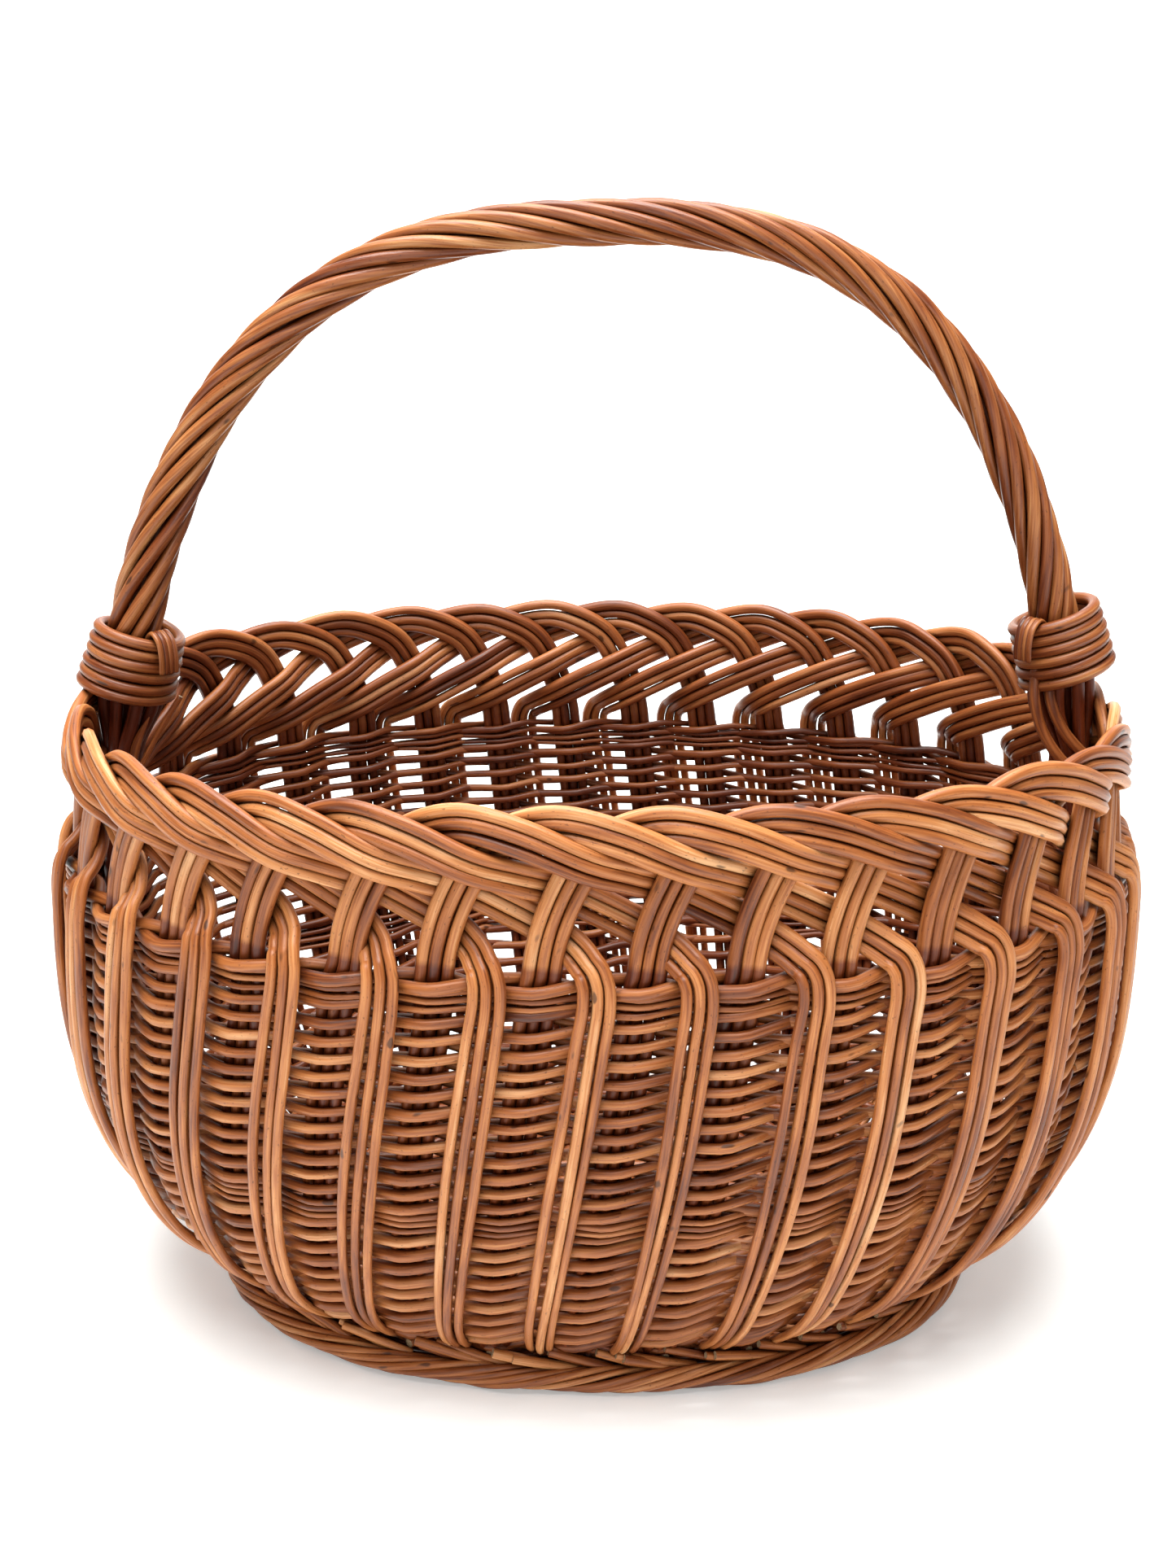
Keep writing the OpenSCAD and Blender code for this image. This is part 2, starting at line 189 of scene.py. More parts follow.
# Adds one rod along the points. Shade is painted light and shade mixed with real fading: it goes from
# -1, bleached and lit, to 1, sheltered and shaded; innerShade is painted shade on the side that faces
# into the basket.
def growRod(bundle, chance, points, out, diameter, sides=8, tone=None, shade=0.0, innerShade=0.0,
            squash=1.0):
    count = len(points)
    diameter = np.broadcast_to(diameter, count)
    shade = np.broadcast_to(shade, count)
    along = unit(np.gradient(points, axis=0))
    tip = along * cutEdge["length"]
    points = np.vstack([points[:1] - tip[:1], points, points[-1:] + tip[-1:]])
    along = np.vstack([along[:1], along, along[-1:]])
    out = np.vstack([out[:1], out, out[-1:]])
    ends = diameter * cutEdge["size"]
    radius = np.concatenate([ends[:1], diameter, ends[-1:]]) / 2
    shade = np.concatenate([shade[:1], shade, shade[-1:]])
    side = unit(np.cross(out, along))
    up = np.cross(along, side)
    mesh, ring, turn = straightRod(sides, count + 2)
    across = (np.cos(turn) * radius[ring])[:, None]
    height = (np.sin(turn) * radius[ring] * squash)[:, None]
    co = points[ring] + side[ring] * across + up[ring] * height
    mesh.vertices.foreach_set("co", co.ravel())
    bundle["bm"].from_mesh(mesh)
    run = np.concatenate([[0], np.cumsum(np.linalg.norm(np.diff(points, axis=0), axis=1))])
    start = chance.uniform(0, 50, 3)
    bundle["grain"].append(start + np.stack([run[ring], across[:, 0], height[:, 0]], 1))
    bundle["tone"].append(np.full(len(ring), chance.uniform() if tone is None else tone))
    # painted shade: the side of the rod that faces into the basket is darkened
    facingIn = np.clip(0.3 - np.sin(turn), 0, 1)
    bundle["shade"].append(np.maximum(shade[ring], innerShade * facingIn))


def finishBundle(bundle, name, bark, nodes=()):
    mesh = bpy.data.meshes.new(name)
    bundle["bm"].to_mesh(mesh)
    bundle["bm"].free()
    for key, kind, field in (("grain", "FLOAT_VECTOR", "vector"), ("tone", "FLOAT", "value"),
                             ("shade", "FLOAT", "value")):
        layer = mesh.attributes.new(key, kind, "POINT")
        layer.data.foreach_set(field, np.concatenate(bundle[key]).astype(np.float32).ravel())
    mesh.materials.append(bark)
    mesh.materials.append(cutWillow)
    piece = bpy.data.objects.new(name, mesh)
    bpy.context.collection.objects.link(piece)
    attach(piece, "root")
    if nodes:
        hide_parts(*nodes)
    return piece


def linearColour(hexColour):
    parts = [int(hexColour[i:i + 2], 16) / 255 for i in (1, 3, 5)]
    return [c / 12.92 if c <= 0.04045 else ((c + 0.055) / 1.055) ** 2.4 for c in parts] + [1]


def addNode(tree, kind, settings=None, inputs=None):  # an input is a socket to link or a plain value
    node = tree.nodes.new(kind)
    for key, value in (settings or {}).items():
        setattr(node, key, value)
    for key, value in (inputs or {}).items():
        if isinstance(value, bpy.types.NodeSocket):
            tree.links.new(value, node.inputs[key])
        else:
            node.inputs[key].default_value = value
    return node


def combine(tree, operation, a, b, clamp=False):
    settings = {"operation": operation, "use_clamp": clamp}
    return addNode(tree, "ShaderNodeMath", settings, {0: a, 1: b}).outputs[0]


def remap(tree, value, fromLow, fromHigh, toLow=0.0, toHigh=1.0):
    inputs = {"Value": value, "From Min": fromLow, "From Max": fromHigh, "To Min": toLow, "To Max": toHigh}
    return addNode(tree, "ShaderNodeMapRange", inputs=inputs).outputs[0]


def mixColour(tree, amount, low, high):
    return addNode(tree, "ShaderNodeMix", {"data_type": "RGBA"}, {0: amount, 6: low, 7: high}).outputs[2]


def colourRamp(tree, level, colours):
    ramp = addNode(tree, "ShaderNodeValToRGB", inputs={"Fac": level})
    while len(ramp.color_ramp.elements) < len(colours):
        ramp.color_ramp.elements.new(0.5)
    for k, (element, colour) in enumerate(zip(ramp.color_ramp.elements, colours)):
        element.position = k / (len(colours) - 1)
        element.color = linearColour(colour)
    return ramp.outputs["Color"]


def grainNoise(tree, grain, along, across, detail=2.0):  # noise with features of these sizes on the rod
    scaled = addNode(tree, "ShaderNodeVectorMath", {"operation": "MULTIPLY"},
                     {0: grain, 1: (1 / along, 1 / across, 1 / across)})
    inputs = {"Vector": scaled.outputs[0], "Scale": 1.0, "Detail": detail, "Roughness": 0.55}
    return addNode(tree, "ShaderNodeTexNoise", inputs=inputs).outputs["Fac"]


# Sizes of willow's marks along and across the rod, and their detail
willowGrain = {
    "streak": (22 * mm, 0.7 * mm, 3.0),     # fibres run along the rod
    "patch": (30 * mm, 4 * mm, 2.0),        # cloudy varnish
    "slow": (140 * mm, 60 * mm, 1.0),       # one stretch of a rod is darker than the next
    "speck": (1.4 * mm, 0.7 * mm, 1.0),     # small dark pores
    "knot": (8 * mm, 3.5 * mm, 0.0),        # leaf scars, far apart
}


def varnishedWillow(name, look):  # willow under worn varnish: honey brown, satin, streaked along the rod
    material = bpy.data.materials.new(name)
    material.use_nodes = True
    tree = material.node_tree
    shader = tree.nodes["Principled BSDF"]
    grain = addNode(tree, "ShaderNodeAttribute", {"attribute_name": "grain"}).outputs["Vector"]
    tone = addNode(tree, "ShaderNodeAttribute", {"attribute_name": "tone"}).outputs["Fac"]
    shade = addNode(tree, "ShaderNodeAttribute", {"attribute_name": "shade"}).outputs["Fac"]

    sizes = willowGrain.values()
    streak, patch, slow, speck, knot = [grainNoise(tree, grain, *size) for size in sizes]

    level = combine(tree, "MULTIPLY", combine(tree, "SUBTRACT", tone, 0.5), look["toneShare"])
    for noise, share in ((streak, 0.9), (patch, 0.9), (slow, 0.7)):
        swing = combine(tree, "SUBTRACT", noise, 0.5)
        level = combine(tree, "ADD", level, combine(tree, "MULTIPLY", swing, share))
    level = combine(tree, "ADD", level, 0.5, True)
    colour = colourRamp(tree, level, look["open"])
    # painted light and shade mixed with real fading: above 0 the darker sheltered colours, below 0 the
    # paler bleached ones
    for side, key in ((1, "shelteredAndShaded"), (-1, "bleachedAndLit")):
        colour = mixColour(tree, remap(tree, shade, 0, side), colour, colourRamp(tree, level, look[key]))
    # the noise makes a mark only above these levels
    pores = remap(tree, speck, 0.67, 0.75, 0, 0.5)
    scars = remap(tree, knot, 0.8, 0.86, 0, 0.75)
    marks = combine(tree, "MAXIMUM", pores, scars)
    colour = mixColour(tree, marks, colour, linearColour(look["mark"]))
    # painted shade with dirt: ambient occlusion darkens the crevices between the rods
    reach = {"Distance": look["dirtAndShadeReach"]}
    openness = addNode(tree, "ShaderNodeAmbientOcclusion", {"samples": 4}, reach).outputs["AO"]
    dirtAndShade = remap(tree, openness, 0.1, 0.78, look["dirtAndShade"], 0)
    colour = mixColour(tree, dirtAndShade, colour, linearColour(look["dirtAndShadeColour"]))
    tree.links.new(colour, shader.inputs["Base Color"])

    rough = remap(tree, patch, 0.3, 0.7, *look["roughness"])
    shine = remap(tree, openness, 0.2, 0.8, 0.05, look["shine"])
    tree.links.new(rough, shader.inputs["Roughness"])
    tree.links.new(shine, shader.inputs["Specular IOR Level"])
    shader.inputs["IOR"].default_value = 1.5
    shader.inputs["Coat Weight"].default_value = look["coat"]
    shader.inputs["Coat Roughness"].default_value = 0.28
    height = combine(tree, "MULTIPLY", streak, 0.5)
    height = combine(tree, "ADD", height, combine(tree, "MULTIPLY", patch, 0.6))
    height = combine(tree, "SUBTRACT", height, combine(tree, "MULTIPLY", marks, 0.4))
    relief = {"Height": height, "Strength": 0.6, "Distance": 0.4 * mm}
    tree.links.new(addNode(tree, "ShaderNodeBump", inputs=relief).outputs[0], shader.inputs["Normal"])
    return material


stakeLook = {                           # colours run from the darkest streaks to the palest
    "open": ("#542410", "#85461F", "#AC6532", "#C9844C", "#E0AA78"),
    # painted shade: darker colours where the rod is sheltered and out of the light
    "shelteredAndShaded": ("#3F1707", "#64290F", "#83411C", "#A05B2E"),
    # painted light: paler colours where the rod is bleached and lit from above
    "bleachedAndLit": ("#A0714A", "#D6A675", "#F0CA9C", "#FFEAC8"),
    "mark": "#240D04",
    "dirtAndShade": 0.9,                        # painted shade and dirt in the crevices: how dark they get, and how far it reaches
    "dirtAndShadeReach": 4.5 * mm,
    "dirtAndShadeColour": "#2E0C02",
    "toneShare": 0.45,
    "roughness": (0.34, 0.52),
    "shine": 0.42,
    "coat": 0.08,
}
# Weavers: a little darker and more even
weaverLook = dict(stakeLook, open=("#4F220D", "#7E411C", "#A45E2E", "#C07D48", "#D8A070"), toneShare=0.35)
# The handle: darkened and polished by hands
ropeLook = dict(stakeLook, open=("#401707", "#6A3013", "#8C4C24", "#AE6D3B", "#D09A66"), toneShare=0.35,
                roughness=(0.3, 0.46), coat=0.1)
# The legs inside the wall: red brown, out of the light
bowLook = dict(stakeLook, open=("#380F04", "#551E09", "#6F2D11", "#8A431B"), coat=0.12)


def cutWillowMaterial():  # cut ends: grey tan and dry
    material = bpy.data.materials.new("cutWillow")
    material.use_nodes = True
    tree = material.node_tree
    shader = tree.nodes["Principled BSDF"]
    grain = addNode(tree, "ShaderNodeAttribute", {"attribute_name": "grain"}).outputs["Vector"]
    fibre = grainNoise(tree, grain, 2 * mm, 0.5 * mm)
    colour = colourRamp(tree, remap(tree, fibre, 0.3, 0.8), ("#6A5038", "#A48B6A", "#C8B594"))
    tree.links.new(colour, shader.inputs["Base Color"])
    shader.inputs["Roughness"].default_value = 0.8
    return material


cutWillow = cutWillowMaterial()
stakeWillow = varnishedWillow("varnishedWillow", stakeLook)
weaverWillow = varnishedWillow("wovenWillow", weaverLook)
ropeWillow = varnishedWillow("polishedWillow", ropeLook)
bowWillow = varnishedWillow("shadedWillow", bowLook)
print("materials made")


stakes = {
    "rod": (4.4, 4.7, 4.6, 4.4, 3.8, 3.1),  # diameters from the base to the foot, in mm
    "gap": 4.35 * mm,                   # between the middles of two rods of a group
    "ribAt": 4.5,                       # spacings from a group's foot to its rib
    "steps": 6,                         # points of a rod from one key of its path to the next
    "warp": (0.06, 0.2, 0.4, 0.6, 0.8, 0.93),  # path inside the weave, as shares of its height
    # ribs: mm below the top of the weave, and mm that the lower end is tucked in behind the foot
    "rib": ((7, 0), (22, 0), (50, 0), (80, 0), (110, 0), (136, 0), (155, 0.4), (168, 2.6), (177, 6),
            (183, 9)),
    "closing": (0.35, 190, 1.5),        # share that a rib's rods close up by, at which drop in mm, power
    "lift": 0.015,                      # how much the height of a group varies, as a share
    "shift": 0.025,                     # and its place, in spacings
    "sway": (0.2 * mm, 0.25 * mm),      # of a rod, sideways and in and out
    "ribSway": (0.7 * mm, 0.4 * mm),    # and what is added to it in a rib
    "parting": 1.4 * mm,                # how far the rods of a rib may stand apart half way down
    "size": (0.94, 1.07),
}
# Path of a group above the weave: spacings along the wall, height from the weave to the rim as
# 0 to 1, offset from the wall's middle in mm, and how far the three rods stand apart.
openwork = [
    (-0.07, 0.00, 0, 1.0), (0.00, 0.27, 0, 1.0), (0.16, 0.55, 0.3, 1.0), (0.40, 0.80, 0.6, 1.0),
    (0.78, 0.945, 1.5, 1.02), (1.20, 1.00, 4, 1.02), (1.75, 0.925, 6, 1.0), (2.35, 0.765, 6, 0.94),
    (2.75, 0.66, 1, 0.92), (3.15, 0.55, -4.5, 0.94), (3.60, 0.415, -5.5, 1.0), (4.00, 0.285, -5, 1.0),
    (4.24, 0.19, -1.5, 0.98), (4.37, 0.12, 3, 0.97), (4.45, 0.05, 6.5, 0.97),
]
# Curves along a group. Places count the path's points from the foot of the openwork, and are below 0
# inside the weave; the rib runs from 15 to its lower end at 24.
# The first curve lightens, fading mixed with painted light, and its -1 at the rib's lower end is painted
# shade. The second darkens: painted shade mixed with less faded, sheltered varnish.
fadeAndLightCurve = ((2.5, 4.5, 8, 9.5, 12, 14, 17, 21.5, 22.5, 24), (0, 1, 1, 0.5, 0.4, 0, 0.1, 0.5, 0.2, -1))
shelterAndShadeCurve = ((-1, 1, 4, 8, 9, 12, 14), (0.9, 0.75, 0.55, 0.5, 0.65, 0.65, 0))
partCurve = ((15, 18, 21, 24), (0, 1, 0.7, 0))   # the rods of a rib part half way down


def stakeKeys(index, lift, shift):  # spacings, height, offset and spread at each point of the path
    middle, top = body["wallMiddle"], body["weaveTop"]
    rise = body["rim"] - 1.5 * stakes["gap"] - top
    first = index - stakes["ribAt"]
    closing, dropAt, power = stakes["closing"]
    keys = [(first + openwork[0][0], top * share, middle, 1) for share in stakes["warp"]]
    for u, h, offset, spread in openwork:
        keys.append((first + u + shift, top + rise * h * (1 + lift), middle + offset * mm, spread))
    for drop, tuck in stakes["rib"]:
        offset = -(stakes["rod"][3] / 2 + tuck) * mm
        spread = 1 - closing * (drop / dropAt) ** power
        keys.append((first + stakes["ribAt"] + shift, top - drop * mm, offset, spread))
    return keys


def stakeGroup(index, name):
    chance = np.random.default_rng(100 + index)
    lift = chance.normal(0, stakes["lift"])
    shift = chance.normal(0, stakes["shift"])
    keys = stakeKeys(index, lift, shift)
    u, z, offset, spread = smoothPath(keys, stakes["steps"]).T
    centre = wallPoint(u, z, offset)
    out = wallOut(u, z, offset)
    side = unit(np.cross(out, unit(np.gradient(centre, axis=0))))
    count = len(centre)
    at = np.linspace(0, 1, count)
    diameter = np.interp(at, np.linspace(0, 1, len(stakes["rod"])), stakes["rod"]) * mm
    keyAt = at * (len(keys) - 1) - len(stakes["warp"])     # 0 where the openwork starts
    front = np.clip(-out[:, 1] * 1.5, 0, 1)                # the front has faded most, and gets most painted light and least painted shade
    # painted light and shade, mixed with real fading and shelter, along the group
    fadedAndLit = np.interp(keyAt, *fadeAndLightCurve)
    shelterAndShade = np.interp(keyAt, *shelterAndShadeCurve)
    shade = shelterAndShade * (1 - front) - fadedAndLit * (0.15 + 0.85 * front)
    shade = np.where(keyAt < 0.3, 1, shade)                # painted shade, full inside the weave
    ribShare = np.clip((keyAt - len(openwork)) / 2, 0, 1)
    parted = np.interp(keyAt, *partCurve)
    sway, inward = stakes["sway"]
    ribSway, ribInward = stakes["ribSway"]
    bundle = newBundle()
    for place in (-1, 0, 1):
        sideways = place * stakes["gap"] * spread + wobble(chance, count, 7, sway)
        apart = place * chance.uniform(0, stakes["parting"]) + wobble(chance, count, 5, ribSway)
        sideways = sideways + apart * parted
        inOut = wobble(chance, count, 7, inward) + chance.normal(0, ribInward) * ribShare
        points = centre + side * sideways[:, None] + out * inOut[:, None]
        thick = diameter * chance.uniform(*stakes["size"]) * (1 + wobble(chance, count, 16, 0.03))
        growRod(bundle, chance, points, out, thick, shade=shade)
    finishBundle(bundle, name, stakeWillow, [stakeNames[index]])


for index in range(stakeCount):
    stakeGroup(index, f"stakeGroup{index + 1:02d}")
print("stake groups made")


weave = {
    "samples": 10,                      # rings of a weaver in one spacing
    "weaver": 3.9 * mm,
    "fineWeaver": 2.5 * mm,
    "topRod": 4.7 * mm,
    "reach": 4.2 * mm,                  # how far a weaver swings to either side of the wall's middle
    "lowerPitch": 4.1 * mm,             # from row to row
    "upperPitch": 3.55 * mm,
    "finePitch": 1.6 * mm,
    "lowRows": 30 * mm,                 # rows below this height sit further in, with painted shade
    "lowTuck": 6 * mm,
    "twineRise": 1.8 * mm,              # of the top row's pair
    "twineReach": 4.8 * mm,
    "sway": (0.2 * mm, 0.3 * mm),       # unevenness of a weaver, in and out and up and down
    "sizes": (0.88, 1.08),
    "taper": 0.06,                      # a rod is this much thicker at its butt and thinner at its tip
    "innerShade": (0.3, 0.85),          # painted shade: how much darker the inside is, by place and by side of the rod
}


def zigzag(x):  # a sine pulled nearly straight between its peaks
    return np.arcsin(0.985 * np.sin(x)) / math.asin(0.985)


# One rod round the wall, in front of one group and behind the next. Start is where its ends lie, and
# thinner is how much thinner the rod is at the back.
def weaverRow(bundle, chance, height, diameter, phase, rise, start, reach, fadedAndLit=0.0, thinner=0.08):
    count = int((stakeCount + 0.9) * weave["samples"])
    inOut, upDown = weave["sway"]
    byPlace, bySide = weave["innerShade"]
    u = start + np.arange(count) / weave["samples"]
    swing = zigzag(math.pi * (u + phase + 0.07))
    offset = body["wallMiddle"] + reach * swing + wobble(chance, count, 40, inOut)
    low = max(0, 1 - height / weave["lowRows"])
    z = height + rise * zigzag(math.pi * (u + phase - 0.5)) + uneven(chance, u, upDown)
    points = wallPoint(u, z, offset - weave["lowTuck"] * low)
    back = np.clip(1.3 * np.sin(angleAt(u)), 0, 1)
    taper = weave["taper"] * np.linspace(1, -1, count)
    thick = diameter * (1 - thinner * back + taper) * (1 + uneven(chance, u, 0.06))
    inside = np.clip(0.5 - (offset - body["wallMiddle"]) / (5 * mm), 0, 1)
    # painted shade inside the wall and in the lowest rows; the faded share lightens: fading mixed with
    # painted light
    shade = byPlace * inside + low ** 2 - fadedAndLit
    growRod(bundle, chance, points, wallOut(u, z, offset), thick, shade=shade, innerShade=bySide)


def weaveBand(name, node, pitch, diameters, rises):
    chance = np.random.default_rng(len(node) * 7)
    low, high = (corner.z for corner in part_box(node))
    low, high = low - pitch / 4, high + pitch / 4
    rows = round((high - low) / pitch)
    bundle = newBundle()
    for row in range(rows):
        share = (row + 0.5) / rows
        rise = rises[0] + (rises[1] - rises[0]) * share
        size = (diameters[0] + (diameters[1] - diameters[0]) * share) * chance.uniform(*weave["sizes"])
        height = low + (high - low) * share
        weaverRow(bundle, chance, height, size, row % 2, rise, 5 * row, weave["reach"])
    finishBundle(bundle, name, weaverWillow, [node])


thick, thin = weave["weaver"], weave["fineWeaver"]
# Name, node, pitch, and the diameter and rise of the lowest and the highest row
bands = (
    ("lowerWeave", "weave_lower", weave["lowerPitch"], (1.2 * thick, 1.12 * thick), (3.2 * mm, 2.4 * mm)),
    ("fineWeaveLow", "weave_fine_lower", weave["finePitch"], (thin, thin), (1.2 * mm, 1.2 * mm)),
    ("upperWeave", "weave_upper", weave["upperPitch"], (thick, thick), (2.2 * mm, 1.2 * mm)),
    ("fineWeaveHigh", "weave_fine_upper", weave["finePitch"], (thin, thin), (0.8 * mm, 0.8 * mm)),
)
for band in bands:
    weaveBand(*band)


def topRow():  # two thick rods twined round the groups
    chance = np.random.default_rng(41)
    bundle = newBundle()
    height = body["weaveTop"] - weave["topRod"] / 2 - 1 * mm
    for phase in (0, 1):
        # both rods are painted lighter: fading mixed with painted light
        weaverRow(bundle, chance, height, weave["topRod"], phase, weave["twineRise"], 20 + phase * 7,
                  weave["twineReach"], fadedAndLit=0.35, thinner=0.3)
    finishBundle(bundle, "topRow", stakeWillow, ["top_row"])


topRow()
print("weave made")


foot = {
    "strands": 8,
    "strand": 3.2 * mm,
    "lay": 3.4 * mm,                    # radius of the rope at the strands' middles
    "turns": 7,
    "sizes": (0.82, 1.08),
    "ends": 3.6 * mm,                   # diameter of a cut end, and how it lies over the border
    "endSizes": (0.85, 1.15),
    "endReach": (0.5, 0.9),             # in spacings
    "endInset": (4 * mm, 8 * mm),
    "endHeight": (14 * mm, 19 * mm),
    "innerRods": 3,                     # they close the gap to the wall, in full painted shade
    "innerRod": 4 * mm,
    "innerInset": (12 * mm, 4 * mm),    # of the first one, and from one to the next
    "innerHeight": (3 * mm, 2 * mm),
}


def straightUp(count):
    return np.tile([0, 0, 1.0], (count, 1))


def footPoint(angle, inset, z):
    radius = ovalRadius(footHigh.x - inset, footHigh.y - inset, angle, body["squareness"])
    return np.stack([radius * np.cos(angle), radius * np.sin(angle), z + 0 * angle], -1)


def footBorder():
    chance = np.random.default_rng(51)
    bundle = newBundle()
    inset = foot["lay"] + 0.6 * foot["strand"]
    count = 700
    angle = np.linspace(0, 2 * math.pi, count)
    for strand in range(foot["strands"]):
        turn = foot["turns"] * angle + 2 * math.pi * strand / foot["strands"]
        turn = turn + wobble(chance, count, 20, 0.12)
        lay = foot["lay"] * (1 + wobble(chance, count, 40, 0.1))
        points = footPoint(angle, inset - lay * np.cos(turn), inset + lay * np.sin(turn))
        out = unit(points - footPoint(angle, inset, inset + 0 * angle))
        thick = foot["strand"] * (1 + wobble(chance, count, 40, 0.08))
        # the strands get a little painted shade
        growRod(bundle, chance, points, out, thick * chance.uniform(*foot["sizes"]), shade=0.1)
    for step in range(foot["innerRods"]):
        height, inset = [start + rise * step for start, rise in (foot["innerHeight"], foot["innerInset"])]
        points = footPoint(angle, inset, height + wobble(chance, count, 30, 0.4 * mm))
        # painted shade: the rods in the gap to the wall are fully dark
        growRod(bundle, chance, points, straightUp(count), foot["innerRod"], shade=1.0)
    finishBundle(bundle, "footBorder", stakeWillow, ["foot_border"])


def footRodEnds():  # two or three cut ends lie over the border under each rib
    chance = np.random.default_rng(52)
    bundle = newBundle()
    t = np.linspace(0, 1, 8)[:, None]
    for index in range(stakeCount):
        for end in range(chance.integers(2, 4)):
            u = index - body["drift"] + 0.3 + 0.25 * end + chance.normal(0, 0.1)
            low = footPoint(angleAt(u, 1), 8 * mm, 8 * mm)
            reach = chance.uniform(*foot["endReach"])
            inset, height = chance.uniform(*foot["endInset"]), chance.uniform(*foot["endHeight"])
            tip = footPoint(angleAt(u - reach, 1), inset, height)
            size = foot["ends"] * chance.uniform(*foot["endSizes"])
            # the cut ends are painted a little lighter, towards the bleached and lit colours
            growRod(bundle, chance, low + (tip - low) * t, straightUp(len(t)), size, shade=-0.3)
    finishBundle(bundle, "footRodEnds", stakeWillow, ["foot_rod_ends"])


footBorder()
footRodEnds()
print("foot made")


base = {
    "crossSticks": 9,
    "longSticks": 4,
    "height": 11 * mm,
    "edge": 12 * mm,                    # from the foot's outline to the first row
    "rowPitch": 4 * mm,
    "weaver": 3.8 * mm,
    "swing": 3.2 * mm,                  # of a weaver, up and down over the stakes
    "stake": 4.2 * mm,
    "stakeEnds": (10 * mm, 40 * mm),    # insets from the outline, and from the middle
    "heart": 4.4 * mm,                  # two rods close the middle
    "heartLength": 56 * mm,             # to either side
}


def straightPoints(start, end, count=10):
    t = np.linspace(0, 1, count)[:, None]
    return np.array(start) * (1 - t) + np.array(end) * t


def baseSticks(name, node, count, axis):  # the sticks are set out along x or y, and lie across it
    chance = np.random.default_rng(61 + axis)
    bundle = newBundle()
    low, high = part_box(node)
    size = high.z - low.z
    last = high[axis] - size / 2
    power = body["squareness"]
    for place in np.linspace(-last, last, count):
        half = high[1 - axis] * (1 - abs(place / footHigh[axis]) ** power) ** (1 / power)
        end = np.array([0, 0, high.z - size / 2])
        end[axis], end[1 - axis] = place, half
        start = end.copy()
        start[1 - axis] = -half
        points = straightPoints(start, end)
        # painted shade: the sticks under the basket are darkened
        growRod(bundle, chance, points, straightUp(10), size * chance.uniform(0.9, 1), shade=0.7)
    finishBundle(bundle, name, stakeWillow, [node])


def baseWeave():
    chance = np.random.default_rng(62)
    bundle = newBundle()
    count = stakeCount * 8
    u = np.linspace(0, stakeCount, count)
    angle = angleAt(u - body["drift"], 1)
    # painted shade: all the base rods are darkened, as under the basket
    for row, inset in enumerate(np.arange(base["edge"], footHigh.y - 3 * mm, base["rowPitch"])):
        z = base["height"] + base["swing"] * np.sin(math.pi * (u + row))
        points = footPoint(angle, inset + wobble(chance, count, 12, 0.4 * mm), z)
        size = base["weaver"] * chance.uniform(0.92, 1.08)
        growRod(bundle, chance, points, unit(points * [1, 1, 0]), size, sides=7, shade=0.8)
    for index in range(stakeCount):
        turn = angleAt(index + 0.5 - body["drift"], 1)
        outer = footPoint(turn, base["stakeEnds"][0], base["height"])
        inner = footPoint(turn, footHigh.y - base["stakeEnds"][1], base["height"])
        growRod(bundle, chance, straightPoints(outer, inner), straightUp(10), base["stake"], shade=0.8)
    for side in (-1, 1):
        end = np.array([base["heartLength"], side * base["heart"] / 2, base["height"]])
        heart = straightPoints(end * [-1, 1, 1], end)
        growRod(bundle, chance, heart, straightUp(10), base["heart"], shade=0.8)
    finishBundle(bundle, "baseWeave", weaverWillow, ["base_weave"])


baseSticks("baseCrossSticks", "base_cross_sticks", base["crossSticks"], 0)
baseSticks("baseLongSticks", "base_long_sticks", base["longSticks"], 1)
baseWeave()
print("base made")


handle = {
    "halfWidth": 196.5 * mm,
    "height": 325.5 * mm,
    "from": 100 * mm,                   # height of the point that the arch is drawn from
    "squareness": 2.6,
    "shift": -1 * mm,                   # the arch stands a little to the left
    "skew": 0.026,                      # and is a little higher on the right
    "rod": (5.5, 4.9, 4.7, 4.9, 5.2),   # diameters from the left binding to the right one, in mm
    "lay": (8.0, 6.4, 5.9, 6.2, 6.9),   # radius of the rope at the rods' middles, in mm
    "turns": 3.5,
    "bindingZ": 265 * mm,
    "bindingX": 182 * mm,
    "below": 10 * mm,                   # the rods end this far down inside the bindings
    "core": 7.4 * mm,
}


def archPath(count):
    start = math.atan2(handle["bindingZ"] - handle["from"], handle["bindingX"])
    angle = math.pi - start - (math.pi - 2 * start) * np.linspace(0, 1, 2001)
    radius = ovalRadius(handle["halfWidth"], handle["height"], angle, handle["squareness"])
    x = radius * np.cos(angle)
    up = radius * np.sin(angle)
    z = handle["from"] + up + handle["skew"] * x * (up / handle["height"]) ** 2
    dense = np.stack([x + handle["shift"], 0 * x, z], 1)
    run = np.concatenate([[0], np.cumsum(np.linalg.norm(np.diff(dense, axis=0), axis=1))])
    at = np.linspace(0, run[-1], count)
    return np.stack([np.interp(at, run, dense[:, k]) for k in range(3)], 1)


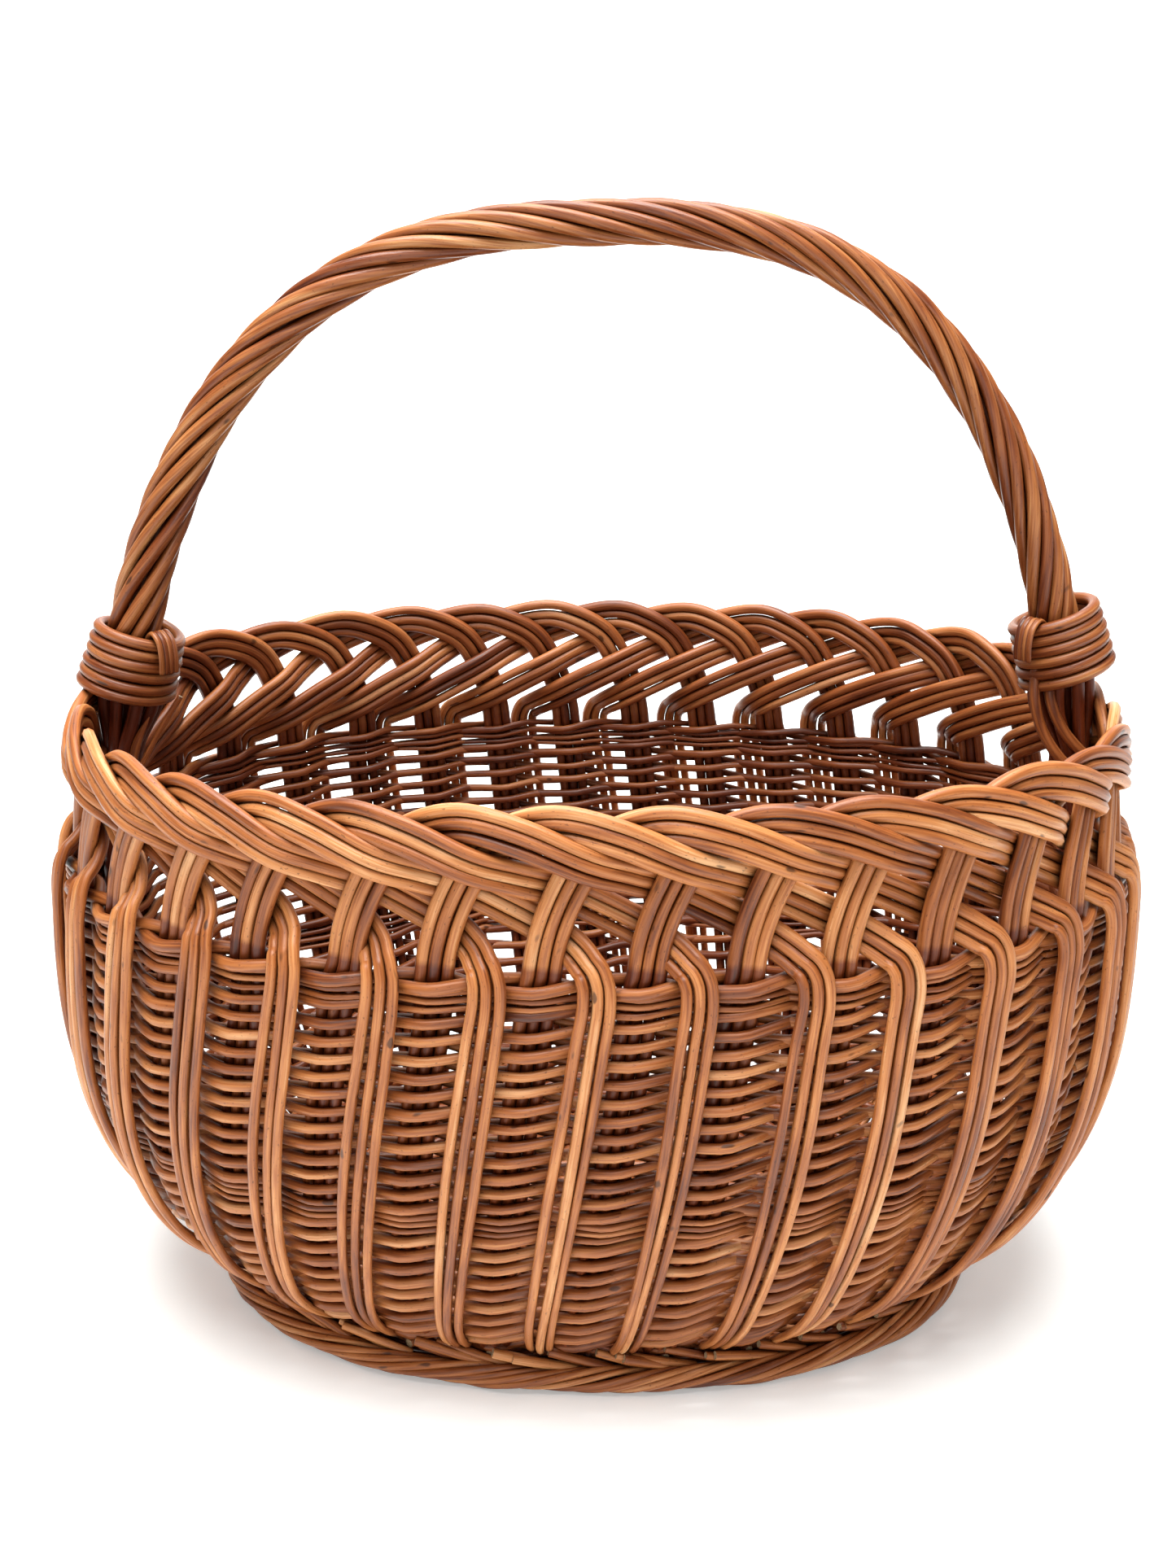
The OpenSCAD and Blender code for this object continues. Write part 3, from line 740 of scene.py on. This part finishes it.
def handleRope():
    chance = np.random.default_rng(71)
    count = 260
    middle = archPath(count)
    along = unit(np.gradient(middle, axis=0))
    below = along * handle["below"]
    middle = np.vstack([middle[:1] - below[:1], middle, middle[-1:] + below[-1:]])
    along = np.vstack([along[:1], along, along[-1:]])
    share = np.concatenate([[0], np.linspace(0, 1, count), [1]])
    outward = unit(np.cross(along, [0, 1.0, 0]))
    front = np.array([0, -1.0, 0])
    fifths = np.linspace(0, 1, 5)
    for rod, node in enumerate(ropeNames):
        bundle = newBundle()
        turn = 2 * math.pi * (handle["turns"] * share + rod / len(ropeNames))
        turn = turn + wobble(chance, len(share), 5, 0.07)
        lay = np.interp(share, fifths, handle["lay"]) * mm + wobble(chance, len(share), 8, 0.25 * mm)
        radial = outward * np.cos(turn)[:, None] + front * np.sin(turn)[:, None]
        size = np.interp(share, fifths, handle["rod"]) * mm * chance.uniform(0.9, 1.08)
        size = size * (1 + wobble(chance, len(share), 14, 0.035))
        # a touch of painted shade
        growRod(bundle, chance, middle + radial * lay[:, None], radial, size, sides=10, shade=0.05)
        finishBundle(bundle, f"handleRod{rod + 1:02d}", ropeWillow, [node])


legs = {
    "rods": 8,
    "rod": 5.5 * mm,
    # height, distance of the bundle's middle from the basket's middle, half length and half width, in mm
    "keys": [(266, 183, 9, 9), (245, 185, 10.5, 9.5), (226, 189.5, 5, 9.5), (210, 191.5, 3.4, 9),
             (180, 196.5, 2.4, 8.5), (135, 198, 1.6, 7.5), (76, 188, 1, 6)],
}


def handleBow():
    chance = np.random.default_rng(72)
    bundle = newBundle()
    # painted shade: the core inside the rope is darkened
    growRod(bundle, chance, archPath(120), np.tile([0, 1.0, 0], (120, 1)), handle["core"], shade=0.8)
    keys = smoothPath(legs["keys"], 6) * mm
    for side in (-1, 1):
        for rod in range(legs["rods"]):
            turn = 2 * math.pi * (rod + 0.5) / legs["rods"]
            z, x, halfLength, halfWidth = keys[:len(keys) - chance.integers(0, 8)].T
            x = side * (x + halfLength * math.cos(turn)) + wobble(chance, len(z), 3, 0.3 * mm)
            points = np.stack([x, halfWidth * math.sin(turn), z], 1)
            size = legs["rod"] * chance.uniform(0.9, 1.1)
            out = np.tile([0, -1.0, 0], (len(z), 1))
            growRod(bundle, chance, points, out, size, tone=0.5 + 0.4 * side)  # the left leg is darker
    finishBundle(bundle, "handleBow", bowWillow, ["handle_bow"])


binding = {
    "turns": 6,
    "rod": 4.5 * mm,
    "halfLength": 16.6 * mm,
    "halfWidth": 14.6 * mm,
    "taper": 0.9 * mm,                  # the coil is tighter at the top
    "tilt": math.radians(18),           # its outer side is higher
    # path of the tucked strands over the top turns: mm towards the basket's inner front, and mm up
    "loop": [(-7, -3), (-5, 4), (-0.5, 8), (3.8, 5), (5, -1), (4.4, -7)],
    "loopStrips": 4,
    "loopGap": 1.9 * mm,
}


def coilPoint(side, centre, turns, grow=0.0, rise=0.0):  # turns are counted from the coil's middle
    narrow = binding["taper"] * 2 * turns / binding["turns"] - grow
    x = (binding["halfLength"] - narrow) * np.cos(2 * math.pi * turns)
    y = (binding["halfWidth"] - narrow) * np.sin(2 * math.pi * turns)
    z = binding["rod"] * turns + rise
    lean = side * binding["tilt"]
    return np.stack([centre.x + x * math.cos(lean) - z * math.sin(lean), centre.y + y,
                     centre.z + x * math.sin(lean) + z * math.cos(lean)], -1)


def bindingCoil(side, name, node):
    chance = np.random.default_rng(81 + side)
    bundle = newBundle()
    low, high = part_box(node)
    centre = (low + high) / 2
    count = binding["turns"] * 32
    turns = np.linspace(-0.5, 0.5, count) * binding["turns"] + 0.25      # both ends lie at the back
    grow = wobble(chance, count, 24, 0.25 * mm)
    points = coilPoint(side, centre, turns, grow, wobble(chance, count, 24, 0.2 * mm))
    out = unit(points - coilPoint(side, centre, turns, -5 * mm))
    size = binding["rod"] * (1.02 + wobble(chance, count, 24, 0.03))
    growRod(bundle, chance, points, out, size, sides=10, tone=0.62)
    finishBundle(bundle, name, ropeWillow, [node])


def bindingLoop(side, name, node):
    chance = np.random.default_rng(91 + side)
    bundle = newBundle()
    low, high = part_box(node)
    place = np.array((low + high) / 2)
    inward = np.array([-side, -1.0, 0]) / math.sqrt(2)
    across = np.array([-inward[1], inward[0], 0])
    keys = smoothPath(binding["loop"], 6) * mm
    for strip in range(binding["loopStrips"]):
        root = place + across * (strip - (binding["loopStrips"] - 1) / 2) * binding["loopGap"]
        points = root + inward * keys[:, :1] * (1 + 0.06 * strip) + [0, 0, 1.0] * keys[:, 1:]
        out = unit(points - (root - [0, 0, 4 * mm]))
        growRod(bundle, chance, points, out, chance.uniform(2.2, 2.7) * mm, squash=0.75)
    finishBundle(bundle, name, ropeWillow, [node])


# Loose rods beside the legs: rod diameters from end to end in mm, flatness, and points in mm
looseRods = {
    "splitRodLeft": ((0.6, 4.6, 4.8), 0.5, [(-176.5, -9, 240), (-183, -9, 228), (-186, -9, 214)]),
    "thinRodLeft": ((2.2, 2.4, 2.2), 0.8, [(-164, -7, 248), (-172, -8, 236), (-184, -10, 215)]),
    "bentRodRightOne": ((4.4, 4.4, 4.2), 1, [
        (176, -8, 262), (177, -11, 250), (182, -13, 239), (191, -14, 229), (203, -13, 220)]),
    "bentRodRightTwo": ((4.4, 4.4, 4.2), 1, [
        (171, -8, 262), (171, -11, 250), (175, -13, 237), (184, -15, 225), (198, -14, 214)]),
}


def looseRod(name, sizes, squash, keys):
    chance = np.random.default_rng(len(name))
    bundle = newBundle()
    points = smoothPath(keys, 8) * mm
    count = len(points)
    size = np.interp(np.linspace(0, 1, count), np.linspace(0, 1, len(sizes)), sizes) * mm
    # a little painted shade
    growRod(bundle, chance, points, np.tile([0, -1.0, 0], (count, 1)), size, squash=squash, shade=0.2)
    finishBundle(bundle, name, stakeWillow)


handleRope()
handleBow()
for side, word in ((-1, "Left"), (1, "Right")):
    bindingCoil(side, f"binding{word}", f"binding_{word.lower()}")
    bindingLoop(side, f"bindingLoop{word}", f"binding_loop_{word.lower()}")
for name, (sizes, squash, keys) in looseRods.items():
    looseRod(name, sizes, squash, keys)
print("handle made")


sheet = {                               # a paper sweep: floor and background in one, in metres
    "half": 4,
    "height": 5,
    "bend": 2,
    "colour": "#F2F6F6",
    "glow": 0.27,                       # the background is a little brighter than the lamps make it
}


def floorSheet():  # matt white paper
    bm = bmesh.new()
    bmesh.ops.create_grid(bm, x_segments=1, y_segments=1, size=sheet["half"])
    back = [e for e in bm.edges if all(v.co.y > 0.9 * sheet["half"] for v in e.verts)]
    lifted = bmesh.ops.extrude_edge_only(bm, edges=back)["geom"]
    raised = [g for g in lifted if isinstance(g, bmesh.types.BMVert)]
    bmesh.ops.translate(bm, vec=(0, 0, sheet["height"]), verts=raised)
    corner = [e for e in bm.edges if all(v.co.y > 0.9 * sheet["half"] and v.co.z < 0.1 for v in e.verts)]
    bmesh.ops.bevel(bm, geom=corner, offset=sheet["bend"], segments=16, profile=0.5, affect="EDGES",
                    material=-1)
    for face in bm.faces:
        face.smooth = True
    mesh = bpy.data.meshes.new("floorSheet")
    bm.to_mesh(mesh)
    bm.free()
    paper = bpy.data.materials.new("palePaper")
    paper.use_nodes = True
    shader = paper.node_tree.nodes["Principled BSDF"]
    shader.inputs["Base Color"].default_value = linearColour(sheet["colour"])
    shader.inputs["Roughness"].default_value = 0.9
    shader.inputs["Emission Color"].default_value = linearColour("#FFFFFF")
    shader.inputs["Emission Strength"].default_value = sheet["glow"]
    mesh.materials.append(paper)
    floor = bpy.data.objects.new("floorSheet", mesh)
    bpy.context.collection.objects.link(floor)


# Soft lamps: place, aim, width in metres, watts, colour
lamps = {
    "skyPanel": ((-0.1, -0.15, 1.7), (0, 0, 0.1), 1.4, 60, "#FFFDFA"),
    "frontPanel": ((-0.2, -1.9, 0.9), (0, 0, 0.15), 1.0, 8, "#FFFCF6"),
    "backdropPanel": ((0, 1.6, 2.6), (0, 3.6, 0.9), 2.0, 140, "#FFFFFF"),
}


def softLamp(name, place, aim, width, power, colour):
    light = bpy.data.lights.new(name, "AREA")
    light.shape = "DISK"
    light.size = width
    light.energy = power
    light.color = linearColour(colour)[:3]
    lamp = bpy.data.objects.new(name, light)
    lamp.location = place
    lamp.rotation_euler = (Vector(aim) - Vector(place)).to_track_quat("-Z", "Y").to_euler()
    bpy.context.collection.objects.link(lamp)


floorSheet()
for name, settings in lamps.items():
    softLamp(name, *settings)
world = bpy.data.worlds.new("paleRoom")
world.use_nodes = True
world.node_tree.nodes["Background"].inputs["Color"].default_value = linearColour("#FFFEFC")
world.node_tree.nodes["Background"].inputs["Strength"].default_value = 0.26
bpy.context.scene.world = world
bpy.context.scene.view_settings.view_transform = "Standard"

view = {
    "place": (-0.0046, -0.6294, 0.4376),
    "down": math.radians(19.89),
    "roll": -0.0049,
    "lens": 37.92,
}
cameraData = bpy.data.cameras.new("camera")
cameraData.lens = view["lens"]
camera = bpy.data.objects.new("camera", cameraData)
camera.location = view["place"]
camera.rotation_euler = (math.pi / 2 - view["down"], view["roll"], 0)
bpy.context.collection.objects.link(camera)
bpy.context.scene.camera = camera
print("stage made")
